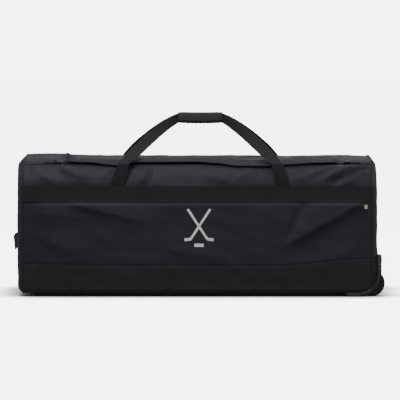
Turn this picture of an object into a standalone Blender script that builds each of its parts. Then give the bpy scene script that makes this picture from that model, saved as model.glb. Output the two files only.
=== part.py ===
"""Wheeled hockey equipment bag, in metres, +Z up.

+X runs along the bag towards the wheel end, -Y is the front, and the origin is
on the floor under the middle of the bag, on the sole of the middle runner.
Every sewn or moulded piece is an object of its own. Moving pieces have their
origin on their joint's axis.
"""

import math

import bmesh
import bpy
from mathutils import Matrix, Vector

# ---------------------------------------------------------------- sizes
GAP = 0.0003  # clearance left between pieces that touch
LENGTH = 0.999  # outside length of the fabric body
DEPTH = 0.400  # front face to rear face
HEIGHT = 0.380  # floor to the top of the lid
CLOTH = 0.003  # padded fabric wall
SHOULDER_R = 0.080  # round of the long top edges
END_DEPTH = 0.018  # how far each end panel wraps round the corner
END_BEVEL = 0.012
LOWER_SEAM_Z = 0.086  # top of the lower panels
UPPER_SEAM_DROP = 0.123  # lid top down to the top of the main front and rear panels
BAND_DROP = (0.118, 0.073)  # lid top down to the webbing band's two edges
BAND_T = 0.0020
PIPING = 0.0022  # how far the end piping stands proud
PIPING_W = 0.0040

RUNNER_H = 0.0105  # plastic runners under the base
RUNNER_W = 0.024
RUNNER_Y = 0.105
RUNNER_INSET = (0.0445, 0.1145)  # from the plain end and from the wheel end
RUNNER_BEVEL = 0.002
BOARD_T = 0.004  # stiffening board on the bag's floor
BOARD_MARGIN = 0.006
BOARD_RIGHT_INSET = 0.094

LID_LEFT_INSET = 0.1275  # fabric end to the left zip run
LID_RIGHT_INSET = 0.0995  # fabric end to the right zip run
ZIP_ANGLE = math.radians(60)  # place of the front zip on the shoulder round
ZIP_HALF = 0.007  # tape and half of the teeth, on each side
ZIP_T = 0.0021
ZIP_PROUD = 0.0005
FLAP_T = 0.0015
FLAP_ANGLES = [math.radians(a) for a in (45, 52, 60, 67, 73, 80)]
FLAP_LIFT = 0.0064  # room for the sliders under the storm flap

SLIDER = (0.020, 0.010, 0.0042)  # length, width across the zip, height
SLIDER_PARK = 0.014  # slider's middle, past the lid's corner
TAB = (0.026, 0.0085, 0.0016)  # pull tab
TAB_GAP = 0.0012

STRAP_W = 0.038
STRAP_T = 0.0020
GRIP_STRAP_W = 0.0245  # webbing gathered inside the grip
HANDLE_X = 0.008  # middle of the carry handles
LEG_X = (0.229, 0.213)  # half span at the band and at the shoulder fold
LEG_TOP_DROP = 0.012  # lid top down to the fold in the handle legs
LEG_PIVOT_PROUD = 0.0035  # leg hinge, in front of the front face
FOLD_GAP = 0.0008
GRIP_HALF = 0.062
GRIP_RISE = (0.0930, 0.1252)  # lid top up to the grip's two edges
GRIP_SIDE = 0.0160  # grip's middle to its outer face
GRIP_WALL = 0.0034
GRIP_ROUND = 0.007
STRAP_OFF = 0.0040  # middle of each strap, from the grip's middle plane
ARCH_SHOULDER_PULL = (0.038, 0.041, 0.037)  # curve handles of the arch strap
ARCH_GRIP_PULL = (0.046, 0.050, 0.020)

WHEEL_R = 0.036
WHEEL_W = 0.028
WHEEL_INSET = 0.0155  # bag's end to the axle
HUB_R = 0.0225
AXLE_R = 0.0040
AXLE_HEAD_R = 0.0052
AXLE_HEAD_T = 0.0020
SIDE_PLAY = 0.0025  # wheel to wheel-well wall
WELL_PLAY = 0.0040  # tyre to wheel-well roof
WELL_T = 0.0030
CORNER_R = 0.055  # round of the bag's lower edge at the wheel end
GUARD_T = 0.0102
WELL_SKIN = 0.001  # well walls stop this far inside the guard's outer face
GUARD_HALF_W = 0.036
GUARD_TOP_Z = 0.114
GUARD_FOOT_INSET = 0.0865  # bag's end to the tip of the guard's foot
RIVET_R = 0.0021
RIVET_HEAD_R = 0.0050
RIVET_HEAD_T = 0.0020

PULL_HALF = 0.065  # end pull handle, half length along Y
PULL_OUT = 0.0120  # stand-off for the fingers
PULL_W = 0.042
PULL_TOP_Z = 0.168
PULL_T = 0.0025
ANCHOR = (0.030, 0.046)  # anchor patch along Y, and its height
ANCHOR_T = 0.0016
LOWER_TAB = (0.034, 0.031, 0.0037)  # along Y, height, thickness
LOWER_TAB_Z = 0.070
LABEL = (0.008, 0.011, 0.0008)
LABEL_INSET = 0.0335  # bag's end to the label's middle
LABEL_DROP = 0.008  # upper seam to the label's middle

ARC_STEPS = 12

# ---------------------------------------------------------------- places
X_END = LENGTH / 2
X_SEAM = X_END - END_DEPTH
HALF_D = DEPTH / 2
BASE_Z = RUNNER_H + GAP
SHOULDER_Z = HEIGHT - SHOULDER_R
UPPER_SEAM_Z = HEIGHT - UPPER_SEAM_DROP
BAND_Z = (HEIGHT - BAND_DROP[0], HEIGHT - BAND_DROP[1])
LEG_TOP_Z = HEIGHT - LEG_TOP_DROP
GRIP_Z = (HEIGHT + GRIP_RISE[0], HEIGHT + GRIP_RISE[1])
RUNNER_X = (-X_END + RUNNER_INSET[0], X_END - RUNNER_INSET[1])
WHEEL_X = X_END - WHEEL_INSET
WHEEL_Y = HALF_D - GUARD_HALF_W
GUARD_FOOT_X = X_END - GUARD_FOOT_INSET
LABEL_PLACE = (X_END - LABEL_INSET, UPPER_SEAM_Z - LABEL_DROP)
ZIP_LEFT = -X_END + LID_LEFT_INSET
ZIP_RIGHT = X_END - LID_RIGHT_INSET
CORNER = Vector((X_END - CORNER_R, BASE_Z + CORNER_R))  # centre of the lower round, X and Z
LEG_PIVOT_Y = HALF_D + LEG_PIVOT_PROUD
LEG_FOOT_Z = BAND_Z[1] + 2 * GAP + STRAP_T / 2
STRAP_PLANE = HALF_D + GAP + BAND_T / 2  # middle of the strap where it stands in the band's plane
WELL_R = WHEEL_R + WELL_PLAY
WELL_HALF = WHEEL_W / 2 + SIDE_PLAY

# Distance along the cross-section, from the middle of the base, up the front,
# over the top and down the rear.
S_WALL = HALF_D
S_SHOULDER = S_WALL + SHOULDER_Z - BASE_Z
S_TOP = S_SHOULDER + SHOULDER_R * math.pi / 2
S_MIDDLE = S_TOP + HALF_D - SHOULDER_R
S_ZIP = S_SHOULDER + SHOULDER_R * ZIP_ANGLE
S_HINGE = S_MIDDLE + HALF_D - SHOULDER_R
BODY_X = (-X_SEAM + GAP, X_SEAM - GAP)
BETWEEN_PIPING = (BODY_X[0] + PIPING_W, BODY_X[1] - PIPING_W)


def s_wall(z):
    """Distance along the section to height z on the front wall."""
    return S_WALL + z - BASE_Z


def section_point(s):
    """Place and outward normal on the cross-section at distance s."""
    if s > S_MIDDLE:
        place, normal = section_point(2 * S_MIDDLE - s)
        return Vector((-place.x, place.y)), Vector((-normal.x, normal.y))
    if s < S_WALL:
        return Vector((-s, BASE_Z)), Vector((0, -1))
    if s < S_SHOULDER:
        return Vector((-HALF_D, BASE_Z + s - S_WALL)), Vector((-1, 0))
    if s < S_TOP:
        angle = (s - S_SHOULDER) / SHOULDER_R
        normal = Vector((-math.cos(angle), math.sin(angle)))
        return Vector((-HALF_D + SHOULDER_R, SHOULDER_Z)) + SHOULDER_R * normal, normal
    return Vector((-HALF_D + SHOULDER_R + s - S_TOP, HEIGHT)), Vector((0, 1))


def section_steps(s0, s1):
    """Distances from s0 to s1 with enough of them on the rounds."""
    step = SHOULDER_R * math.pi / 2 / ARC_STEPS
    corners = [S_SHOULDER, S_TOP, S_MIDDLE]
    corners += [2 * S_MIDDLE - s for s in corners]
    rounds = [S_SHOULDER + i * step for i in range(1, ARC_STEPS)]
    rounds += [2 * S_MIDDLE - s for s in rounds]
    inner = [s for s in corners + rounds if s0 + 0.001 < s < s1 - 0.001]
    return [s0] + sorted(inner) + [s1]


# ---------------------------------------------------------------- making objects
def clear_scene():
    for old in list(bpy.data.objects):
        bpy.data.objects.remove(old, do_unlink=True)


def make_material(name, colour, roughness, metallic=0.0):
    material = bpy.data.materials.new(name)
    material.use_nodes = True
    shader = material.node_tree.nodes["Principled BSDF"]
    shader.inputs["Base Color"].default_value = (*colour, 1.0)
    shader.inputs["Roughness"].default_value = roughness
    shader.inputs["Metallic"].default_value = metallic
    return material


def place_object(name, shape, material, origin=(0, 0, 0), smooth=False):
    """Turn a bmesh in world coordinates into an object with its origin at a point."""
    bmesh.ops.recalc_face_normals(shape, faces=shape.faces)
    bmesh.ops.translate(shape, verts=shape.verts, vec=-Vector(origin))
    mesh = bpy.data.meshes.new(name)
    shape.to_mesh(mesh)
    shape.free()
    mesh.materials.append(material)
    if smooth:
        mesh.shade_smooth()
        mesh.set_sharp_from_angle(angle=math.radians(35))
    made = bpy.data.objects.new(name, mesh)
    made.location = origin
    bpy.context.scene.collection.objects.link(made)
    return made


def combine(target, name, shape, operation="DIFFERENCE"):
    """Cut a shape out of an object, join it on, or keep what they share."""
    tool = place_object(name, shape, target.data.materials[0])
    tool.hide_render = True
    tool.display_type = "WIRE"
    step = target.modifiers.new(name, "BOOLEAN")
    step.operation = operation
    step.object = tool
    return target


def loft(rings):
    """Closed solid through rings of equally many points, with flat ends."""
    shape = bmesh.new()
    rows = [[shape.verts.new(point) for point in ring] for ring in rings]
    for lower, upper in zip(rows, rows[1:]):
        for i in range(len(lower)):
            j = (i + 1) % len(lower)
            shape.faces.new((lower[i], lower[j], upper[j], upper[i]))
    shape.faces.new(reversed(rows[0]))
    shape.faces.new(rows[-1])
    return shape


AXIS_PLACE = {
    "X": lambda along, a, b: (along, a, b),
    "Y": lambda along, a, b: (a, along, b),
    "Z": lambda along, a, b: (a, b, along),
}


def prism(outline, axis, low, high):
    """A flat outline carried along an axis; the outline is in the other two axes, in order."""
    put = AXIS_PLACE[axis]
    return loft([[put(at, a, b) for a, b in outline] for at in (low, high)])


def box(low, high, bevel=0.0):
    shape = bmesh.new()
    bmesh.ops.create_cube(shape, size=1.0)
    for vert in shape.verts:
        for i in range(3):
            vert.co[i] = high[i] if vert.co[i] > 0 else low[i]
    if bevel:
        bmesh.ops.bevel(shape, geom=shape.edges[:], offset=bevel, segments=2, profile=0.5, affect="EDGES")
    return shape


def disc(axis, centre, radius, low, high, sides=40):
    """Round bar along an axis, centred on the two other coordinates."""
    turns = [2 * math.pi * i / sides for i in range(sides)]
    outline = [(centre[0] + radius * math.cos(t), centre[1] + radius * math.sin(t)) for t in turns]
    return prism(outline, axis, low, high)


def turned(axis, centre, profile, sides=40):
    """Solid turned about an axis from (distance along it, radius) pairs."""
    put = AXIS_PLACE[axis]
    turns = [2 * math.pi * i / sides for i in range(sides)]
    return loft(
        [
            [put(at, centre[0] + r * math.cos(t), centre[1] + r * math.sin(t)) for t in turns]
            for at, r in profile
        ]
    )


def strip(x_range, s0, s1, out=0.0, thick=CLOTH):
    """Panel that follows the cross-section from s0 to s1, between two places along X."""
    shape = bmesh.new()
    rows = []
    for s in section_steps(s0, s1):
        place, normal = section_point(s)
        outer, inner = place + out * normal, place + (out - thick) * normal
        rows.append([shape.verts.new((x, *p)) for p in (outer, inner) for x in x_range])
    for a, b in zip(rows, rows[1:]):
        for i, j in ((0, 1), (1, 3), (3, 2), (2, 0)):
            shape.faces.new((a[i], a[j], b[j], b[i]))
    shape.faces.new((rows[0][0], rows[0][1], rows[0][3], rows[0][2]))
    shape.faces.new((rows[-1][0], rows[-1][1], rows[-1][3], rows[-1][2]))
    return shape


def ribbon(stations):
    """Strap through stations of (place, direction of its width, its normal, width, thickness)."""
    rings = []
    for place, across, normal, width, thick in stations:
        half_w, half_t = across.normalized() * width / 2, normal.normalized() * thick / 2
        low, high = place - half_t, place + half_t
        rings.append([low - half_w, low + half_w, high + half_w, high - half_w])
    shape = loft(rings)
    bmesh.ops.triangulate(shape, faces=shape.faces)
    return shape


def section_outline(inset, bottom):
    """Closed outline of the cross-section in Y and Z, moved in by a distance."""
    front = [(-HALF_D + inset, bottom)]
    for i in range(ARC_STEPS + 1):
        angle = math.pi / 2 * i / ARC_STEPS
        radius = SHOULDER_R - inset
        front.append(
            (-HALF_D + SHOULDER_R - radius * math.cos(angle), SHOULDER_Z + radius * math.sin(angle))
        )
    return front + [(-y, z) for y, z in reversed(front)]


def arc(centre, radius, start, end, steps):
    """Points of an arc, in degrees."""
    turns = [math.radians(start + (end - start) * i / steps) for i in range(steps + 1)]
    return [(centre[0] + radius * math.cos(t), centre[1] + radius * math.sin(t)) for t in turns]


# ---------------------------------------------------------------- fabric body
def make_side_panels(fabric, lower_fabric, webbing):
    """Front and rear walls: lower panel, main panel, shoulder and the webbing band."""
    lower_outline = [
        (-X_SEAM + GAP, BASE_Z),
        *arc(CORNER, CORNER_R, -90, 0, 8),
        (X_SEAM - GAP, CORNER.y),
        (X_SEAM - GAP, LOWER_SEAM_Z - GAP),
        (-X_SEAM + GAP, LOWER_SEAM_Z - GAP),
    ]
    full = 2 * S_MIDDLE
    for side, sign in (("front", -1), ("rear", 1)):
        outer, inner = sign * HALF_D, sign * (HALF_D - CLOTH)
        shape = prism(lower_outline, "Y", min(outer, inner), max(outer, inner))
        place_object(f"{side}_lower_panel", shape, lower_fabric)
        spans = {
            "panel": (s_wall(LOWER_SEAM_Z), s_wall(UPPER_SEAM_Z) - GAP, 0.0, CLOTH),
            "shoulder_panel": (
                s_wall(UPPER_SEAM_Z),
                S_ZIP - ZIP_HALF - GAP if sign < 0 else full - S_HINGE - GAP,
                0.0,
                CLOTH,
            ),
            "band": (s_wall(BAND_Z[0]), s_wall(BAND_Z[1]), GAP + BAND_T, BAND_T),
        }
        for piece, (s0, s1, out, thick) in spans.items():
            if sign > 0:
                s0, s1 = full - s1, full - s0
            shape = strip(BETWEEN_PIPING if piece == "band" else BODY_X, s0, s1, out, thick)
            place_object(f"{side}_{piece}", shape, webbing if piece == "band" else fabric, smooth=True)


def make_base(fabric, board):
    inside = HALF_D - CLOTH - GAP
    shape = box((-X_SEAM + GAP, -inside, BASE_Z), (CORNER.x - GAP, inside, BASE_Z + CLOTH))
    base = place_object("base_panel", shape, fabric)
    kick = [*arc(CORNER, CORNER_R, -90, 0, 8), *arc(CORNER, CORNER_R - CLOTH, 0, -90, 8)]
    kick_panel = place_object("kick_panel", prism(kick, "Y", -inside, inside), fabric, smooth=True)
    edge = HALF_D - CLOTH - BOARD_MARGIN
    low = BASE_Z + CLOTH + GAP
    shape = box((-X_SEAM + BOARD_MARGIN, -edge, low), (X_END - BOARD_RIGHT_INSET, edge, low + BOARD_T))
    place_object("base_board", shape, board)
    return base, kick_panel


def end_dish(sign, bottom):
    """End panel as a shallow dish: inner cap, inner wall, rim, outer wall, outer cap."""
    turn = END_BEVEL * (1 - math.sqrt(0.5))
    inner_turn = CLOTH + (END_BEVEL - CLOTH) * (1 - math.sqrt(0.5))
    inner = [(END_BEVEL, CLOTH), (inner_turn, inner_turn), (CLOTH, END_BEVEL), (CLOTH, END_DEPTH)]
    outer = [(0, END_DEPTH), (0, END_BEVEL), (turn, turn), (END_BEVEL, 0)]
    rings = []
    for inset, depth in inner + outer:
        if sign < 0:
            low = bottom + inset
        else:
            low = bottom + (CLOTH if (inset, depth) in inner else 0)
        x = sign * (X_END - depth)
        rings.append([(x, y, z) for y, z in section_outline(inset, low)])
    return loft(rings)


def make_ends(fabric, cord):
    """Dished end panels and the piping in their seams. Returns the wheel-end panel."""
    ends = {}
    for side, sign, bottom in (("left", -1, BASE_Z), ("right", 1, CORNER.y + GAP)):
        panel = place_object(f"{side}_end_panel", end_dish(sign, bottom), fabric, smooth=True)
        ends[side] = panel

        x_range = sorted((sign * (X_SEAM - PIPING_W / 2), sign * (X_SEAM + PIPING_W / 2)))
        low = bottom - PIPING if sign < 0 else bottom
        ring = place_object(
            f"{side}_piping", prism(section_outline(-GAP - PIPING, low), "X", *x_range), cord, smooth=True
        )
        inner_low = bottom - GAP if sign < 0 else bottom - 2 * CLOTH
        x_range = (x_range[0] - CLOTH, x_range[1] + CLOTH)
        combine(ring, f"{side}_piping_bore", prism(section_outline(-GAP, inner_low), "X", *x_range))
    return ends["right"]


def make_top(fabric, zip_tape):
    """Borders beside the opening, the lid, the zip tapes and the storm flap."""
    hinge = S_HINGE - GAP
    left_run = (ZIP_LEFT - ZIP_HALF, ZIP_LEFT - GAP)
    right_run = (ZIP_RIGHT + GAP, ZIP_RIGHT + ZIP_HALF)
    pieces = {
        "left_top_border": ((BODY_X[0], left_run[0] - GAP), S_ZIP, hinge, fabric),
        "right_top_border": ((right_run[1] + GAP, BODY_X[1]), S_ZIP, hinge, fabric),
        "front_zip_tape": (BETWEEN_PIPING, S_ZIP - ZIP_HALF, S_ZIP - GAP, zip_tape),
        "left_zip_tape": (left_run, S_ZIP, hinge, zip_tape),
        "right_zip_tape": (right_run, S_ZIP, hinge, zip_tape),
    }
    for name, (x_range, s0, s1, material) in pieces.items():
        is_tape = material is zip_tape
        shape = strip(x_range, s0, s1, ZIP_PROUD if is_tape else 0.0, ZIP_T if is_tape else CLOTH)
        place_object(name, shape, material, smooth=True)


def make_lid(fabric, zip_tape):
    axis = (0, HALF_D - SHOULDER_R, HEIGHT)
    hinge = S_HINGE - 2 * GAP
    lid_x = (ZIP_LEFT + ZIP_HALF + GAP, ZIP_RIGHT - ZIP_HALF - GAP)
    tape_x = (ZIP_LEFT + GAP, ZIP_RIGHT - GAP)
    place_object("lid_panel", strip(lid_x, S_ZIP + ZIP_HALF + GAP, hinge), fabric, axis, smooth=True)
    tapes = {
        "lid_front_zip_tape": (tape_x, S_ZIP + GAP, S_ZIP + ZIP_HALF),
        "lid_left_zip_tape": ((tape_x[0], lid_x[0] - GAP), S_ZIP + ZIP_HALF + GAP, hinge),
        "lid_right_zip_tape": ((lid_x[1] + GAP, tape_x[1]), S_ZIP + ZIP_HALF + GAP, hinge),
    }
    for name, (x_range, s0, s1) in tapes.items():
        place_object(name, strip(x_range, s0, s1, ZIP_PROUD, ZIP_T), zip_tape, axis, smooth=True)

    rings = []
    for side_x in lid_x:
        outer, inner = [], []
        for angle in FLAP_ANGLES:
            place, normal = section_point(S_SHOULDER + SHOULDER_R * angle)
            slope = (FLAP_ANGLES[-1] - angle) / (FLAP_ANGLES[-1] - FLAP_ANGLES[-3])
            lift = ZIP_PROUD + GAP + (FLAP_LIFT - ZIP_PROUD - GAP) * min(1.0, slope)
            inner.append((side_x, *(place + lift * normal)))
            outer.append((side_x, *(place + (lift + FLAP_T) * normal)))
        rings.append(outer + inner[::-1])
    place_object("storm_flap", loft(rings), fabric, axis, smooth=True)


def make_zip_sliders(metal, cord):
    """A slider at each end of the front zip, with its pull tab lying outwards."""
    centre, normal = section_point(S_ZIP)
    lift = Vector((0, *normal))
    across = Vector((0, lift.z, -lift.y))
    for side, sign, edge in (("left", -1, ZIP_LEFT), ("right", 1, ZIP_RIGHT)):
        middle = Vector((edge + sign * SLIDER_PARK, *centre))
        frame = Matrix((Vector((1, 0, 0)), across, lift)).transposed()
        length, width, height = SLIDER
        low = ZIP_PROUD + GAP
        body = box((-length / 2, -width / 2, low), (length / 2, width / 2, low + height), bevel=0.0009)
        bmesh.ops.rotate(body, verts=body.verts, matrix=frame)
        bmesh.ops.translate(body, verts=body.verts, vec=middle)
        place_object(f"{side}_slider", body, metal, middle, smooth=True)

        tab_length, tab_width, tab_t = TAB
        near = length / 2 + TAB_GAP
        ends = sorted((sign * near, sign * (near + tab_length)))
        tab = box((ends[0], -tab_width / 2, low), (ends[1], tab_width / 2, low + tab_t), bevel=0.0004)
        bmesh.ops.rotate(tab, verts=tab.verts, matrix=frame)
        bmesh.ops.translate(tab, verts=tab.verts, vec=middle)
        hinge = middle + Vector((sign * near, 0, 0)) + (low + tab_t / 2) * lift
        place_object(f"{side}_pull_tab", tab, cord, hinge, smooth=True)


# ---------------------------------------------------------------- carry handles
def bezier(p0, p1, p2, p3, steps):
    for i in range(steps + 1):
        t = i / steps
        u = 1 - t
        yield t, u**3 * p0 + 3 * u * u * t * p1 + 3 * u * t * t * p2 + t**3 * p3


def arch_stations(sign):
    """Strap from the left shoulder fold, through the grip, to the right shoulder fold."""
    fold = Vector((-LEG_X[1], sign * STRAP_PLANE, LEG_TOP_Z + FOLD_GAP))
    middle_z = (GRIP_Z[0] + GRIP_Z[1]) / 2
    entry = Vector((-GRIP_HALF - 0.004, sign * STRAP_OFF, middle_z))
    pull = Vector(ARCH_SHOULDER_PULL)
    p1 = fold + Vector((pull.x, -sign * pull.y, pull.z))
    pull = Vector(ARCH_GRIP_PULL)
    p2 = entry + Vector((-pull.x, sign * pull.y, -pull.z))
    points = list(bezier(fold, p1, p2, entry, 10))
    left = []
    for i, (t, place) in enumerate(points):
        before, after = points[max(i - 1, 0)][1], points[min(i + 1, len(points) - 1)][1]
        tangent = (after - before).normalized()
        across = Vector((1, 0, 0)).lerp(Vector((0, 0, -1)), t**1.2)
        across = (across - tangent * across.dot(tangent) * min(1.0, 3 * t)).normalized()
        width = STRAP_W + (GRIP_STRAP_W - STRAP_W) * t
        left.append((place, across, tangent.cross(across), width, STRAP_T))
    up, out = Vector((0, 0, 1)), Vector((0, 1, 0))
    inside = []
    for x in (-GRIP_HALF, GRIP_HALF):
        inside.append((Vector((x, sign * STRAP_OFF, middle_z)), up, out, GRIP_STRAP_W, STRAP_T))
    right = []
    for place, across, normal, width, thick in reversed(left):
        mirrored = Vector((-across.x, across.y, across.z))
        other_side = Vector((-place.x, place.y, place.z))
        flat = Vector((-normal.x, normal.y, normal.z))
        right.append((other_side, mirrored, flat, width, thick))
    stations = left + inside + right
    even = [stations[0]]
    for place, across, normal, width, thick in stations[1:]:
        if across.dot(even[-1][1]) < 0:
            across = -across
        if normal.dot(even[-1][2]) < 0:
            normal = -normal
        even.append((place, across, normal, width, thick))
    shift = Vector((HANDLE_X, 0, 0))
    return [(place + shift, *rest) for place, *rest in even]


def grip_outline(sign):
    """C-shaped half of the wrap-round grip, in Y and Z."""
    low, high = GRIP_Z
    steps = [math.pi / 2 * i / 3 for i in range(4)]
    outer = [(GAP / 2, low)]
    centre = GRIP_SIDE - GRIP_ROUND
    outer += [(centre + GRIP_ROUND * math.sin(a), low + GRIP_ROUND * (1 - math.cos(a))) for a in steps]
    outer += [(y, low + high - z) for y, z in reversed(outer)]
    bed = STRAP_OFF + STRAP_T / 2 + GAP
    roof, sill = high - GRIP_WALL, low + GRIP_WALL
    inner = [(GAP / 2, roof), (bed, roof), (bed, sill), (GAP / 2, sill)]
    return [(sign * y, z) for y, z in outer + inner]


def make_handles(webbing, pad):
    for side, sign in (("front", -1), ("rear", 1)):
        leg_axis = (0, sign * LEG_PIVOT_Y, LEG_FOOT_Z - STRAP_T / 2)
        fold_axis = (0, sign * LEG_PIVOT_Y, LEG_TOP_Z)
        for end, way in (("left", -1), ("right", 1)):
            foot = Vector((HANDLE_X + way * LEG_X[0], sign * STRAP_PLANE, LEG_FOOT_Z))
            top = Vector((HANDLE_X + way * LEG_X[1], sign * STRAP_PLANE, LEG_TOP_Z - FOLD_GAP))
            along, out = Vector((1, 0, 0)), Vector((0, 1, 0))
            shape = ribbon([(p, along, out, STRAP_W, STRAP_T) for p in (foot, top)])
            place_object(f"{side}_{end}_handle_leg", shape, webbing, leg_axis)
        place_object(f"{side}_handle_strap", ribbon(arch_stations(sign)), webbing, fold_axis, smooth=True)
        shape = prism(grip_outline(sign), "X", HANDLE_X - GRIP_HALF, HANDLE_X + GRIP_HALF)
        place_object(f"{side}_grip", shape, pad, fold_axis, smooth=True)


def make_end_handle(webbing):
    """Pull handle on the plain end, its two anchor patches and the tab below."""
    face = -X_END
    plane = face - ANCHOR_T / 2 - GAP
    middle_z = PULL_TOP_Z - PULL_W / 2
    out_x = face - GAP - PULL_OUT + PULL_T / 2
    near = face - ANCHOR_T - 3 * GAP - PULL_T / 2
    bow = PULL_HALF * 0.62
    path = [(near, -PULL_HALF), (out_x * 0.6 + near * 0.4, -bow * 1.25), (out_x, -bow)]
    path += [(x, -y) for x, y in reversed(path)]
    stations = []
    for i, (x, y) in enumerate(path):
        before, after = Vector(path[max(i - 1, 0)]), Vector(path[min(i + 1, len(path) - 1)])
        run = (after - before).normalized()
        normal = Vector((run.y, -run.x, 0))
        stations.append((Vector((x, y, middle_z)), Vector((0, 0, 1)), normal, PULL_W, PULL_T))
    hinge = (near, 0, PULL_TOP_Z)
    place_object("end_pull_handle", ribbon(stations), webbing, hinge, smooth=True)
    for side, sign in (("front", -1), ("rear", 1)):
        y = sign * (PULL_HALF - ANCHOR[0] / 2 + ANCHOR[0] / 3)
        low = (plane - ANCHOR_T / 2, y - ANCHOR[0] / 2, middle_z - ANCHOR[1] / 2)
        high = (plane + ANCHOR_T / 2, y + ANCHOR[0] / 2, middle_z + ANCHOR[1] / 2)
        place_object(f"{side}_pull_anchor", box(low, high), webbing)
    along, tall, thick = LOWER_TAB
    low = (face - GAP - thick, -along / 2, LOWER_TAB_Z - tall / 2)
    high = (face - GAP, along / 2, LOWER_TAB_Z + tall / 2)
    place_object("lower_end_tab", box(low, high, bevel=0.001), webbing)


# ---------------------------------------------------------------- base and wheels
def make_runners(plastic):
    for name, y in (("front", -RUNNER_Y), ("middle", 0.0), ("rear", RUNNER_Y)):
        near, far = y - RUNNER_W / 2, y + RUNNER_W / 2
        shape = box((RUNNER_X[0], near, 0), (RUNNER_X[1], far, RUNNER_H), RUNNER_BEVEL)
        place_object(f"{name}_runner", shape, plastic)


def guard_outline(outer_radius, inner_radius):
    """L-shaped guard round the lower corner, in X and Z."""
    reach = outer_radius - CORNER_R
    lining = inner_radius - CORNER_R
    return [
        (GUARD_FOOT_X, BASE_Z - reach),
        *arc(CORNER, outer_radius, -90, 0, 12),
        (X_END + reach, GUARD_TOP_Z),
        (X_END + lining, GUARD_TOP_Z),
        *arc(CORNER, inner_radius, 0, -90, 12),
        (GUARD_FOOT_X, BASE_Z - lining),
    ]


def make_wheel(side, sign, materials, base, kick_panel, end_panel):
    """One wheel with its guard and well, axle and rivets; cuts its room in the fabric."""
    plastic, rubber, hub_plastic, steel = materials
    axis = (WHEEL_X, WHEEL_R)
    middle = sign * WHEEL_Y
    low, high = middle - GUARD_HALF_W, middle + GUARD_HALF_W
    outer_radius, inner_radius = CORNER_R + GAP + GUARD_T, CORNER_R + GAP

    shape = prism(guard_outline(outer_radius, inner_radius), "Y", low, high)
    guard = place_object(f"{side}_wheel_guard", shape, plastic, smooth=True)
    inside = arc(CORNER, outer_radius - WELL_SKIN, -90, 0, 12)
    inside += [(X_END, GUARD_TOP_Z), (GUARD_FOOT_X, GUARD_TOP_Z), (GUARD_FOOT_X, BASE_Z)]
    well_low, well_high = middle - WELL_HALF - WELL_T, middle + WELL_HALF + WELL_T
    well = place_object(
        f"{side}_well_form", disc("Y", axis, WELL_R + WELL_T, well_low, well_high), plastic
    )
    combine(well, f"{side}_well_limit", prism(inside, "Y", low, high), "INTERSECT")
    well.hide_render = True
    well.display_type = "WIRE"
    join = guard.modifiers.new("well", "BOOLEAN")
    join.operation = "UNION"
    join.object = well
    combine(guard, f"{side}_wheel_room", disc("Y", axis, WELL_R, middle - WELL_HALF, middle + WELL_HALF))
    combine(guard, f"{side}_axle_bore", disc("Y", axis, AXLE_R + GAP, low, high, 24))
    for name, way in (("near", -1), ("far", 1)):
        wall = WELL_HALF + WELL_T + GAP / 2
        ends = sorted((middle + way * wall, middle + way * (wall + AXLE_HEAD_T + 2 * GAP)))
        head = disc("Y", axis, AXLE_HEAD_R + GAP, *ends, 24)
        combine(guard, f"{side}_{name}_axle_head_room", head)

    head_room = AXLE_HEAD_T + 2 * GAP
    room = (well_low - head_room, well_high + head_room)
    for panel in (kick_panel, end_panel):
        combine(panel, f"{side}_{panel.name}_room", disc("Y", axis, WELL_R + WELL_T + GAP, *room))

    half = WHEEL_W / 2
    tyre = [(-half, HUB_R + GAP), (-half, WHEEL_R - 0.004), (-half * 0.6, WHEEL_R - 0.0006), (0, WHEEL_R)]
    tyre += [(-at, r) for at, r in reversed(tyre[:-1])]
    origin = (WHEEL_X, middle, WHEEL_R)
    shape = turned("Y", axis, [(middle + at, r) for at, r in tyre], 48)
    body = place_object(f"{side}_tyre", shape, rubber, origin, smooth=True)
    combine(body, f"{side}_tyre_bore", disc("Y", axis, HUB_R + GAP, middle - WHEEL_W, middle + WHEEL_W))
    hub = [(-half - 0.001, 0.008), (-half + 0.002, 0.0085), (-half + 0.002, HUB_R), (half - 0.002, HUB_R)]
    hub += [(half - 0.002, 0.0085), (half + 0.001, 0.008)]
    shape = turned("Y", axis, [(middle + at, r) for at, r in hub])
    body = place_object(f"{side}_wheel_hub", shape, hub_plastic, origin, smooth=True)
    combine(body, f"{side}_hub_bore", disc("Y", axis, AXLE_R + GAP, middle - WHEEL_W, middle + WHEEL_W, 24))

    reach = WELL_HALF + WELL_T + GAP
    pin = [(-reach - AXLE_HEAD_T, AXLE_HEAD_R), (-reach, AXLE_HEAD_R), (-reach, AXLE_R), (reach, AXLE_R)]
    pin += [(reach, AXLE_HEAD_R), (reach + AXLE_HEAD_T, AXLE_HEAD_R)]
    shape = turned("Y", axis, [(middle + at, r) for at, r in pin], 24)
    place_object(f"{side}_axle", shape, steel, smooth=True)

    make_rivets(side, middle, guard, base, end_panel, steel)


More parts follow.
